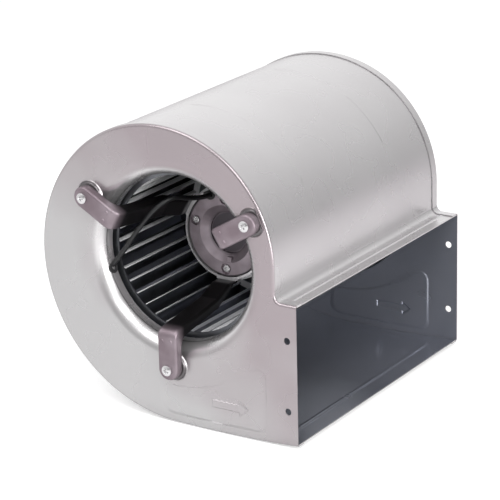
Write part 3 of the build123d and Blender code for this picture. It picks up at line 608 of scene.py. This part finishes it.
def motor_lead():
    """Round sheathed lead on one smooth NURBS line through its route's points."""
    curve = bpy.data.curves.new("motor_lead_sheath", "CURVE")
    curve.dimensions = "3D"
    curve.bevel_depth = LEAD_RADIUS * MM
    curve.bevel_resolution = 5
    curve.use_fill_caps = True
    line = curve.splines.new("NURBS")
    line.points.add(len(LEAD_POINTS) - 1)
    for point, place in zip(line.points, LEAD_POINTS):
        point.co = (*(value * MM for value in place), 1.0)
    line.order_u = 3
    line.use_endpoint_u = True
    line.resolution_u = 24
    lead = bpy.data.objects.new("motor_lead_sheath", curve)
    bpy.context.scene.collection.objects.link(lead)
    curve.materials.append(MATERIALS["lead_sheath"])
    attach(lead, "housing")
    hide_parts("motor_lead")
    return lead


def panel_distance(place):
    """Distance outside the pressed panel: the most of the distances past its left, right and top lines, its
    arc and its floor line, or at a corner the distance from the corner's rounding."""
    centres = scroll_centres()
    x, z = place[:, 0], place[:, 1]
    floor = np.linalg.norm(place - centres[4], axis=1) - SCROLL_RADII[4]
    side = np.linalg.norm(place - centres[3], axis=1) - SCROLL_RADII[3]
    outside = np.stack([
        PANEL_LEFT - x,
        x - PANEL_RIGHT,
        z - PANEL_TOP,
        PANEL_ARC - np.linalg.norm(place, axis=1),
        np.where(x < PANEL_FLOOR_FROM, side, floor) + PANEL_MARGIN,
    ])
    beyond = np.maximum(outside + PANEL_CORNER, 0.0)
    rounded = np.linalg.norm(beyond, axis=0) - PANEL_CORNER
    return np.where(beyond.any(axis=0), rounded, outside.max(axis=0))


def arrow_distance(place):
    """Distance outside the flow arrow: a shaft's rectangle joined to a pointed head."""
    x, aside = place[:, 0], np.abs(place[:, 1] - ARROW_Z)
    neck = ARROW_TIP - ARROW_HEAD_LENGTH
    shaft = np.maximum.reduce([ARROW_TAIL - x, x - neck - 1.0, aside - ARROW_HALF_SHAFT])
    slant = np.hypot(ARROW_HALF_HEAD, ARROW_HEAD_LENGTH)
    head_edge = (ARROW_HALF_HEAD * (x - ARROW_TIP) + ARROW_HEAD_LENGTH * aside) / slant
    return np.minimum(shaft, np.maximum(neck - x, head_edge))


def side_plate(name, side, *stands_for):
    """Side plate: straight rows from the bell's circle out to the outline, then the rolled rim.

    Along each ray from `RAY_START` the plate starts at the bell's edge and ends `RIM_ROUNDING` inside the
    outline. The bell is a quarter arc turned about the shaft, the rim a quarter arc and a skirt, and the
    panel, less the arrow, is pressed in by a soft step. `side` is -1 in front and 1 behind.
    """
    floor_shares = stepped(0.0, 24, 0.36, 88, 0.785, 22, 1.0)[:-1]
    shares = [even(10), even(8), even(9), even(55), even(62), even(68), even(70), floor_shares]
    rim_edge = housing_path(RIM_ROUNDING, shares)
    climb = even(100)[1:, None]
    outlet_edge = rim_edge[-1] + climb * (rim_edge[0] - rim_edge[-1])
    edge = np.vstack([rim_edge, outlet_edge])
    start = np.array(RAY_START)
    ray = (edge - start) / np.linalg.norm(edge - start, axis=1, keepdims=True)
    along = ray @ start
    reach = -along + np.sqrt(along ** 2 - start @ start + BELL_OUTER ** 2)
    bell_edge = start + reach[:, None] * ray
    outwards = bell_edge / BELL_OUTER
    turn = np.radians(np.linspace(90.0, 0.0, 10, endpoint=False))
    throat = BELL_OUTER - BELL_RADIUS
    bell_radius = np.concatenate([[throat], BELL_OUTER - BELL_RADIUS * np.sin(turn)])
    bell_depth = np.concatenate([[BELL_RADIUS + THROAT_LIP], BELL_RADIUS - BELL_RADIUS * np.cos(turn)])
    bell = outwards[:, None, :] * bell_radius[None, :, None]
    step = stepped(0.0, 9, 0.3, 12, 0.5, 34, 0.78, 12, 1.0)
    flat = bell_edge[:, None, :] + step[None, :, None] * (edge - bell_edge)[:, None, :]
    rows = np.concatenate([bell, flat], axis=1)
    depth = np.zeros(rows.shape[:2])
    depth[:, :bell.shape[1]] = bell_depth
    flat_place = flat.reshape(-1, 2)
    pressed = smooth(0.5 - panel_distance(flat_place) / PANEL_SLOPE)
    raised = smooth(0.5 - arrow_distance(flat_place) / ARROW_SLOPE)
    depth[:, bell.shape[1]:] = (PANEL_DEPTH * (pressed - raised * pressed)).reshape(flat.shape[:2])
    plate_points = np.stack([rows[..., 0], FRONT + depth, rows[..., 1]], -1)
    roll = np.radians(np.linspace(15.0, 90.0, 6))
    insets = np.concatenate([RIM_ROUNDING - RIM_ROUNDING * np.sin(roll), [0.0, 0.0]])
    depths = np.concatenate([RIM_ROUNDING - RIM_ROUNDING * np.cos(roll), [0.6 * RIM_DEPTH, RIM_DEPTH]])
    rim_lines = np.stack([housing_path(inset, shares) for inset in insets], axis=1)
    rim_points = np.stack(
        [rim_lines[..., 0], np.broadcast_to(FRONT + depths, rim_lines.shape[:2]), rim_lines[..., 1]], -1
    )
    ring, deep = plate_points.shape[:2]
    rim_count, rim_rows = rim_points.shape[:2]
    numbers = np.full((ring, deep + rim_rows), -1)
    numbers[:, :deep] = np.arange(ring * deep).reshape(ring, deep)
    numbers[:rim_count, deep:] = ring * deep + np.arange(rim_count * rim_rows).reshape(rim_count, rim_rows)
    faces = numbers.ravel()[grid_faces(ring, deep + rim_rows, close_rows=True)]
    faces = faces[(faces >= 0).all(axis=1)]
    points = np.vstack([plate_points.reshape(-1, 3), rim_points.reshape(-1, 3)])
    for hole in FIXING_HOLES:
        points, faces = holed(points, faces, points[:, [0, 2]], hole, FIXING_RADIUS)
    points[:, 1] *= -side
    points, faces, inner = walled(points, faces, -side * SHEET)
    return mesh_piece(name, points, faces, "galvanised_sheet", *stands_for, inner=inner)


def scroll_wrap():
    """Wrap: the outline one sheet inside the plates', carried along Y, with its beads as half cosine waves.

    A bead's height is its wave across it, times soft steps at its two ends.
    """
    lip = stepped(0.0, 6, 0.5, 24, 0.95, 2, 1.0)[:-1]
    floor_shares = stepped(0.0, 30, 0.80, 26, 0.88, 10, 1.0)[:-1]
    shares = [lip, even(12), even(9), even(64), even(60), even(60), even(60), floor_shares]
    outer = housing_path(SHEET, shares)
    outwards = housing_path(SHEET - 1.0, shares) - outer
    near, far = BEAD_Y - BEAD_ROOM, BEAD_Y + BEAD_ROOM
    left_half = [-WRAP_HALF_LENGTH, 10, -OUTLET_BEAD_END, 16, -far, 16, -near, 22]
    beside = stepped(*left_half, near, 16, far, 15, FLOOR_BEAD_Y[1], 8, WRAP_HALF_LENGTH)
    turn = np.degrees(np.arctan2(outer[:, 1], outer[:, 0]))
    sector = sum(
        smooth((turn - start) / BEAD_RUN_OUT_ANGLE) * smooth((end - turn) / BEAD_RUN_OUT_ANGLE)
        for start, end in BEAD_SECTORS
    )
    lines = hump(np.abs(beside) - BEAD_Y, BEAD_HALF_WIDTH)
    number = np.arange(len(outer))
    on_lip = number < len(lip)
    on_floor = number > len(outer) - len(floor_shares) - 2
    outlet_bead = on_lip * hump(outer[:, 0] - OUTLET_BEAD_X, BEAD_HALF_WIDTH)
    outlet_span = smooth((OUTLET_BEAD_END - np.abs(beside)) / BEAD_RUN_OUT)
    floor_bead = on_floor * hump(outer[:, 0] - FLOOR_BEAD_X, FLOOR_BEAD_HALF_WIDTH)
    floor_start = smooth((beside - FLOOR_BEAD_Y[0]) / BEAD_RUN_OUT)
    floor_span = floor_start * smooth((FLOOR_BEAD_Y[1] - beside) / BEAD_RUN_OUT)
    relief = BEAD_HEIGHT * (
        sector[:, None] * lines[None, :]
        + outlet_bead[:, None] * outlet_span[None, :]
        - floor_bead[:, None] * floor_span[None, :]
    )
    place = outer[:, None, :] + relief[..., None] * outwards[:, None, :]
    points = np.stack([place[..., 0], np.broadcast_to(beside, relief.shape), place[..., 1]], -1)
    points, faces, inner = walled(points.reshape(-1, 3), grid_faces(*relief.shape), SHEET)
    return mesh_piece("scroll_wrap_sheet", points, faces, "galvanised_sheet", "scroll_wrap", inner=inner)


def foot_pad(number, angle):
    """Raised round pad under a foot: rings about its screw, cut off at the plate's rolled edge.

    A ring's radius is `share` of the top's plus `slope` of the flank's width. It lies `drop` below the top.
    """
    place = round_about(angle, FOOT_RADIUS)
    turn = np.linspace(0.0, 360.0, 72, endpoint=False)
    direction = round_about(turn)
    offset = place - FIRST_CENTRE
    along = direction @ offset
    edge = -along + np.sqrt(along ** 2 - offset @ offset + (SCROLL_RADII[0] - RIM_ROUNDING) ** 2)
    edge = np.where(place[1] > 0, edge, np.inf)
    share = np.array([0.0, 0.4, 0.8, 0.95, 0.99, 1.0, 1.0, 1.0, 1.0, 1.0, 0.0])
    slope = np.array([0.0, 0.0, 0.0, 0.0, 0.0, 0.12, 0.5, 0.85, 1.1, 1.2, 0.0])
    drop = np.array([0.0, 0.0, 0.0, 0.0, 0.12, 0.4, 1.5, 2.6, 2.95, 3.3, 3.3])
    radius = share[:, None] * PAD_TOP + slope[:, None] * (PAD_BASE - PAD_TOP)
    limit = np.where(share[:, None] >= 0.95, edge, np.inf)
    radius = np.minimum(radius, limit)
    flat_place = place + radius[..., None] * direction
    height = np.broadcast_to((FRONT - PAD_HEIGHT + drop)[:, None], radius.shape)
    points = np.stack([flat_place[..., 0], height, flat_place[..., 1]], -1).reshape(-1, 3)
    faces = grid_faces(*radius.shape, close_columns=True)
    return mesh_piece(
        f"foot_pad_{number}", points, faces, "galvanised_sheet", "front_side_plate", sharp=60.0
    )


def blade_row(name, y_from, y_to, *stands_for):
    """Blades: one forward-curved arc, thickened both ways with round edges, repeated about the shaft.

    The arc passes through the inner and outer edge and bulges `BLADE_CAMBER` from the line between them.
    """
    inner = np.array([BLADE_INNER, 0.0])
    outer = round_about(BLADE_LEAD, BLADE_OUTER)
    chord = outer - inner
    half = np.linalg.norm(chord) / 2.0
    across = np.array([chord[1], -chord[0]]) / (2.0 * half)
    bend = (half ** 2 + BLADE_CAMBER ** 2) / (2.0 * BLADE_CAMBER)
    centre = (inner + outer) / 2.0 + across * (BLADE_CAMBER - bend)
    start = np.degrees(np.arctan2(*(inner - centre)[::-1]))
    sweep = 2.0 * np.degrees(np.arcsin(half / bend))
    along = start + sweep * np.linspace(0.0, 1.0, 12)
    cap = np.radians(np.linspace(0.0, 180.0, 5)[1:-1])
    wall = BLADE_THICKNESS / 2.0
    reach = np.concatenate([
        np.full(12, bend + wall),
        bend + wall * np.cos(cap),
        np.full(12, bend - wall),
        bend - wall * np.cos(cap),
    ])
    past = np.degrees(wall * np.sin(cap) / bend)
    turn = np.concatenate([along, along[-1] + past, along[::-1], along[0] - past])
    section = centre + round_about(turn, reach)
    angle = 2.0 * np.pi * np.arange(BLADE_COUNT) / BLADE_COUNT
    spin = np.stack([np.cos(angle), -np.sin(angle), np.sin(angle), np.cos(angle)], -1).reshape(-1, 2, 2)
    place = np.einsum("nij,kj->nki", spin, section)
    rows = np.array([y_from, y_from, y_to, y_to])
    shrink = np.array([0.0, 1.0, 1.0, 0.0])
    middle = place.mean(axis=1, keepdims=True)
    spread = middle[:, None] + shrink[None, :, None, None] * (place - middle)[:, None]
    height = np.broadcast_to(rows[None, :, None], spread.shape[:3])
    points = np.stack([spread[..., 0], height, spread[..., 1]], -1)
    one = grid_faces(len(rows), len(section), close_columns=True)
    faces = (one[None] + (np.arange(BLADE_COUNT) * len(rows) * len(section))[:, None, None]).reshape(-1, 4)
    return mesh_piece(name, points.reshape(-1, 3), faces, "impeller_steel", *stands_for, body="impeller")


def foot_screw(number, angle):
    """Domed screw with a cross recess: rings about its axis, the head's face sunk where the cross runs."""
    place = round_about(angle, FOOT_RADIUS)
    turn = np.linspace(0.0, 360.0, 96, endpoint=False)
    inner = np.array([0.0, 0.3, 0.5, 0.7, 0.9, 1.2, 1.6, 2.0, 2.3, 2.6, 2.9])
    outer = np.array([3.3, 3.8, 4.3, 4.7, 4.92, SCREW_HEAD_RADIUS, SCREW_HEAD_RADIUS])
    head = np.concatenate([inner, outer])
    rise = SCREW_HEAD_DOME * (head / SCREW_HEAD_RADIUS) ** 2
    rise[-2:] = (SCREW_HEAD_EDGE, SCREW_HEAD_HEIGHT)
    radius = np.concatenate([head, [SCREW_RADIUS, SCREW_RADIUS, 0.0]])
    top = FOOT_FACE_Y - SCREW_HEAD_HEIGHT
    height = np.concatenate([top + rise, [FOOT_FACE_Y, SCREW_END_Y, SCREW_END_Y]])
    spread = radius[:, None, None] * round_about(turn + angle + CROSS_TURN)[None]
    aside = np.sort(np.abs(spread), axis=-1)
    arm = smooth((CROSS_HALF_WIDTH - aside[..., 0]) / 0.3) * smooth((CROSS_REACH - aside[..., 1]) / 0.6)
    on_face = np.arange(len(radius)) < len(head) - 2
    sunk = height[:, None] + CROSS_DEPTH * arm * on_face[:, None]
    flat_place = place + radius[:, None, None] * round_about(turn)[None]
    points = np.stack([flat_place[..., 0], sunk, flat_place[..., 1]], -1).reshape(-1, 3)
    faces = grid_faces(len(radius), len(turn), close_columns=True)
    return mesh_piece(f"foot_screw_{number}", points, faces, "zinc_fasteners", "mount_screws", sharp=40.0)


def foot_bush(number, angle):
    """Rubber bush between arm and pad: a closed ring whose side bulges and has a groove at mid-height."""
    place = round_about(angle, FOOT_RADIUS)
    turn = np.linspace(0.0, 360.0, 64, endpoint=False)
    up = np.linspace(0.0, 1.0, 15)
    bulge = BUSH_BULGE * np.sin(np.pi * up) ** 0.5
    side = BUSH_RADIUS + bulge - BUSH_GROOVE * hump(up - 0.5, BUSH_GROOVE_SHARE)
    radius = np.concatenate([side, [BUSH_BORE, BUSH_BORE]])
    back = FRONT - PAD_HEIGHT
    height = np.concatenate([FOOT_BACK_Y + up * (back - FOOT_BACK_Y), [back, FOOT_BACK_Y]])
    flat_place = place + radius[:, None, None] * round_about(turn)[None]
    along = np.broadcast_to(height[:, None], flat_place.shape[:2])
    points = np.stack([flat_place[..., 0], along, flat_place[..., 1]], -1).reshape(-1, 3)
    faces = grid_faces(len(radius), len(turn), close_rows=True, close_columns=True)
    return mesh_piece(f"foot_bush_{number}", points, faces, "black_rubber", "mount_bushes", sharp=50.0)


motor_lead()
side_plate("front_plate_sheet", -1.0, "front_side_plate")
side_plate("back_plate_sheet", 1.0, "back_side_plate")
scroll_wrap()
blade_row("front_blade_row", BLADE_FRONT_Y, BLADE_BACK_Y, "front_blades")
blade_row("back_blade_row", -BLADE_BACK_Y, -BLADE_FRONT_Y, "back_blades")
for foot_number, foot_angle in enumerate(FOOT_ANGLES, 1):
    foot_pad(foot_number, foot_angle)
    foot_screw(foot_number, foot_angle)
    foot_bush(foot_number, foot_angle)


def camera():
    """Camera on the photo's line of sight, rolled as it was held."""
    back = Vector((
        math.sin(CAMERA_AZIMUTH) * math.cos(CAMERA_ELEVATION),
        -math.cos(CAMERA_AZIMUTH) * math.cos(CAMERA_ELEVATION),
        math.sin(CAMERA_ELEVATION),
    ))
    right = Vector((math.cos(CAMERA_AZIMUTH), math.sin(CAMERA_AZIMUTH), 0.0))
    up = back.cross(right)
    rolled_right = right * math.cos(CAMERA_ROLL) + up * math.sin(CAMERA_ROLL)
    rolled_up = up * math.cos(CAMERA_ROLL) - right * math.sin(CAMERA_ROLL)
    place = back * CAMERA_DISTANCE - right * CAMERA_ASIDE - up * CAMERA_ABOVE
    data = bpy.data.cameras.new("camera")
    data.lens = FOCAL_LENGTH_MM
    data.sensor_width = SENSOR_WIDTH_MM
    data.clip_end = 20.0
    made = bpy.data.objects.new("camera", data)
    turn = Matrix((rolled_right, rolled_up, back)).transposed().to_4x4()
    made.matrix_world = Matrix.Translation(place) @ turn
    bpy.context.scene.collection.objects.link(made)
    bpy.context.scene.camera = made


def lamp(name, place, size, power):
    """Square soft white lamp at `place`, turned to the fan."""
    data = bpy.data.lights.new(name, "AREA")
    data.size = size
    data.energy = power
    made = bpy.data.objects.new(name, data)
    direction = Vector(place)
    turn = direction.to_track_quat("Z", "Y").to_matrix().to_4x4()
    made.matrix_world = Matrix.Translation(direction) @ turn
    bpy.context.scene.collection.objects.link(made)


def seen_directly(tree):
    """1 for rays from the camera, off gloss or through glass, 0 for light spread by matt surfaces."""
    path = tree.nodes.new("ShaderNodeLightPath")
    total = path.outputs["Is Camera Ray"]
    for kind in ("Is Glossy Ray", "Is Transmission Ray"):
        most = tree.nodes.new("ShaderNodeMath")
        most.operation = "MAXIMUM"
        tree.links.new(total, most.inputs[0])
        tree.links.new(path.outputs[kind], most.inputs[1])
        total = most.outputs[0]
    return total


def studio():
    """Room: white to the eye, from grey to bright across it in gloss, and even soft light on what is matt."""
    world = bpy.data.worlds.new("studio")
    bpy.context.scene.world = world
    world.use_nodes = True
    tree = world.node_tree
    tree.nodes["Background"].inputs["Color"].default_value = (1.0, 1.0, 1.0, 1.0)
    tree.nodes["Background"].inputs["Strength"].default_value = WORLD_LIGHT
    direction = tree.nodes.new("ShaderNodeTexCoord").outputs["Generated"]
    toward = tree.nodes.new("ShaderNodeVectorMath")
    toward.operation = "DOT_PRODUCT"
    tree.links.new(direction, toward.inputs[0])
    toward.inputs[1].default_value = BRIGHT_SIDE
    shade = tree.nodes.new("ShaderNodeMapRange")
    tree.links.new(toward.outputs["Value"], shade.inputs["Value"])
    shade.inputs["From Min"].default_value = ROOM_SPREAD[0]
    shade.inputs["From Max"].default_value = ROOM_SPREAD[1]
    shade.inputs["To Min"].default_value = ROOM_GREY
    shade.inputs["To Max"].default_value = ROOM_WHITE
    path = tree.nodes.new("ShaderNodeLightPath")
    strength = tree.nodes.new("ShaderNodeMix")
    tree.links.new(path.outputs["Is Camera Ray"], strength.inputs["Factor"])
    tree.links.new(shade.outputs["Result"], strength.inputs[2])
    strength.inputs[3].default_value = 1.0
    shown = tree.nodes.new("ShaderNodeBackground")
    shown.inputs["Color"].default_value = (1.0, 1.0, 1.0, 1.0)
    tree.links.new(strength.outputs[0], shown.inputs["Strength"])
    mix = tree.nodes.new("ShaderNodeMixShader")
    tree.links.new(seen_directly(tree), mix.inputs["Fac"])
    tree.links.new(tree.nodes["Background"].outputs[0], mix.inputs[1])
    tree.links.new(shown.outputs[0], mix.inputs[2])
    tree.links.new(mix.outputs[0], tree.nodes["World Output"].inputs["Surface"])
    for name, place, size, power in LAMPS:
        lamp(name, place, size, power)


def floor():
    """Pale floor under the fan, white where nothing shades it, darker in gloss far off and at the foot."""
    height = cad_box[0][2] - FLOOR_GAP
    mesh = bpy.data.meshes.new("floor")
    corners = [(FLOOR_HALF * x, FLOOR_HALF * y, height) for x, y in ((-1, -1), (1, -1), (1, 1), (-1, 1))]
    mesh.from_pydata(corners, [], [(0, 1, 2, 3)])
    made = bpy.data.objects.new("floor", mesh)
    bpy.context.scene.collection.objects.link(made)
    finish = Finish("floor_white", (0.8, 0.8, 0.8), roughness=0.9)
    glow = finish.tree.nodes.new("ShaderNodeEmission")
    flat = finish.node("ShaderNodeVectorMath")
    flat.operation = "DOT_PRODUCT"
    finish.tree.links.new(finish.place, flat.inputs[0])
    flat.inputs[1].default_value = FLOOR_DIM_SIDE
    far = finish.span(flat.outputs["Value"], 0.0, 1.0, *FLOOR_FADE)
    place = finish.axes()
    before = finish.math("SUBTRACT", finish.math("ABSOLUTE", place["Y"]), -FRONT * MM)
    beside = finish.math("SUBTRACT", place["X"], OUTLET_X * MM)
    away = finish.span(finish.math("MAXIMUM", before, beside), CONTACT_SHADE, 1.0, 0.0, CONTACT_REACH)
    shade = finish.blend(far, (FLOOR_NEAR,) * 3, FLOOR_FAR)
    shade = finish.blend(away, (0.0, 0.0, 0.0), shade)
    camera_ray = finish.tree.nodes.new("ShaderNodeLightPath").outputs["Is Camera Ray"]
    finish.tree.links.new(finish.blend(camera_ray, shade, (FLOOR_GLOW,) * 3), glow.inputs["Color"])
    finish.tree.links.new(seen_directly(finish.tree), glow.inputs["Strength"])
    both = finish.tree.nodes.new("ShaderNodeAddShader")
    finish.tree.links.new(finish.shader.outputs[0], both.inputs[0])
    finish.tree.links.new(glow.outputs[0], both.inputs[1])
    finish.tree.links.new(both.outputs[0], finish.tree.nodes["Material Output"].inputs["Surface"])
    mesh.materials.append(finish.material)


camera()
studio()
floor()
bpy.context.scene.view_settings.view_transform = "Standard"
